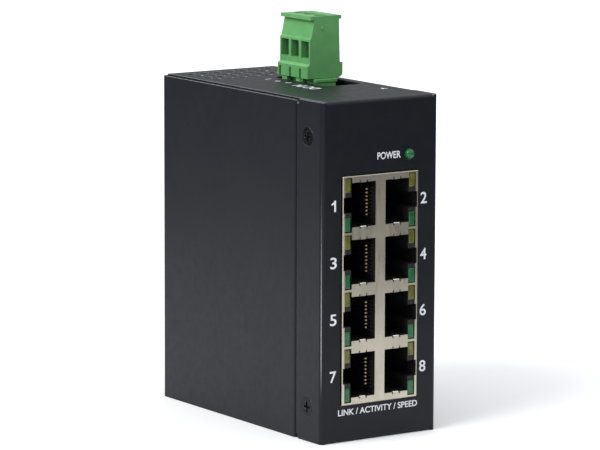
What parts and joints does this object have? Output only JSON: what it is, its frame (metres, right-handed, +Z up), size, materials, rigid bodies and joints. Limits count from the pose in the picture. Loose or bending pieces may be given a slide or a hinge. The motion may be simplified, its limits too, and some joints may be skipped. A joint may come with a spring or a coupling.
{
  "type": "ethernet switch",
  "caption": "Slim black steel network switch for a mounting rail: sockets in two columns on the front, a pluggable power terminal on top and a sprung rail clip behind.",
  "frame": {"origin": "centre of the case's bottom face", "axes": "+Z up, -Y out of the front with the sockets, +Y towards the mounting rail, +X to the right seen from the front"},
  "size_m": [0.039, 0.0906, 0.1139],
  "materials": {
    "case_paint": "semi-gloss black powder coat on folded steel sheet",
    "black_steel": "black-plated screw steel",
    "shield_plate": "satin nickel-plated sheet",
    "black_insert": "black moulded insert, fine matt texture",
    "contact_gold": "gold-plated spring wire",
    "yellow_lens": "unlit yellow lamp lens",
    "green_lens": "unlit green lamp lens",
    "board_laminate": "green solder mask over glass laminate",
    "zinc_steel": "bright zinc plate",
    "chip_resin": "black moulding resin",
    "bright_can": "drawn metal can",
    "ferrite": "sintered ferrite, dull",
    "fuse_laminate": "coated laminate",
    "ceramic": "tan fired ceramic",
    "terminal_green": "green moulded plastic with a soft sheen",
    "tinned_metal": "tin plate",
    "clamp_steel": "zinc-plated clamp steel",
    "clip_plastic": "black glass-filled plastic",
    "spring_steel": "bright spring wire"
  },
  "bodies": {
    "case": {"front_chassis": "case_paint", "rear_cover": "case_paint", "case_screws": "black_steel", "jack_shield": "shield_plate", "jack_housing": "black_insert", "lamp_holder": "black_insert", "port_1_contacts": "contact_gold", "port_2_contacts": "contact_gold", "port_3_contacts": "contact_gold", "port_4_contacts": "contact_gold", "port_5_contacts": "contact_gold", "port_6_contacts": "contact_gold", "port_7_contacts": "contact_gold", "port_8_contacts": "contact_gold", "yellow_lamps": "yellow_lens", "green_lamps": "green_lens", "power_lamp": "green_lens", "circuit_board": "board_laminate", "board_posts": "zinc_steel", "board_screws": "zinc_steel", "clip_screws": "zinc_steel", "switch_chip": "chip_resin", "regulator_chip": "chip_resin", "input_diode": "chip_resin", "upper_transformers": "chip_resin", "lower_transformers": "chip_resin", "crystal": "bright_can", "input_capacitor": "bright_can", "output_capacitor": "bright_can", "power_inductor": "ferrite", "line_resistors": "ferrite", "input_fuse": "fuse_laminate", "bypass_capacitors": "ceramic", "power_header": "terminal_green", "header_pins": "tinned_metal", "clip_base": "clip_plastic", "clip_spring": "spring_steel"},
    "plug": {"terminal_plug": "terminal_green", "plug_contacts": "tinned_metal"},
    "latch": {"clip_latch": "clip_plastic"},
    "clamp_screw_1": {"clamp_screw_1": "clamp_steel"},
    "clamp_cage_1": {"clamp_cage_1": "clamp_steel"},
    "clamp_screw_2": {"clamp_screw_2": "clamp_steel"},
    "clamp_cage_2": {"clamp_cage_2": "clamp_steel"},
    "clamp_screw_3": {"clamp_screw_3": "clamp_steel"},
    "clamp_cage_3": {"clamp_cage_3": "clamp_steel"}
  },
  "joints": [
    {"name": "plug_pull", "type": "slide", "parent": "case", "child": "plug", "axis": [0, 0, 1], "range_m": [0, 0.012]},
    {"name": "latch_slide", "type": "slide", "parent": "case", "child": "latch", "axis": [0, 0, -1], "range_m": [0, 0.0036], "stiffness_N_per_m": 600, "springref_m": -0.003, "deforming": ["clip_spring"]},
    {"name": "screw_turn_1", "type": "hinge", "parent": "plug", "child": "clamp_screw_1", "pos_m": [0.0092, 0.00184, 0.11], "axis": [0, 0, 1], "range_deg": [-2160, 0]},
    {"name": "cage_rise_1", "type": "slide", "parent": "plug", "child": "clamp_cage_1", "axis": [0, 0, 1], "range_m": [0, 0.003]},
    {"name": "screw_turn_2", "type": "hinge", "parent": "plug", "child": "clamp_screw_2", "pos_m": [0.0092, 0.00692, 0.11], "axis": [0, 0, 1], "range_deg": [-2160, 0]},
    {"name": "cage_rise_2", "type": "slide", "parent": "plug", "child": "clamp_cage_2", "axis": [0, 0, 1], "range_m": [0, 0.003]},
    {"name": "screw_turn_3", "type": "hinge", "parent": "plug", "child": "clamp_screw_3", "pos_m": [0.0092, 0.012, 0.11], "axis": [0, 0, 1], "range_deg": [-2160, 0]},
    {"name": "cage_rise_3", "type": "slide", "parent": "plug", "child": "clamp_cage_3", "axis": [0, 0, 1], "range_m": [0, 0.003]}
  ],
  "couplings": [
    {"joint": "screw_turn_1", "follows": "cage_rise_1", "rad_per_m": -12566},
    {"joint": "screw_turn_2", "follows": "cage_rise_2", "rad_per_m": -12566},
    {"joint": "screw_turn_3", "follows": "cage_rise_3", "rad_per_m": -12566}
  ]
}
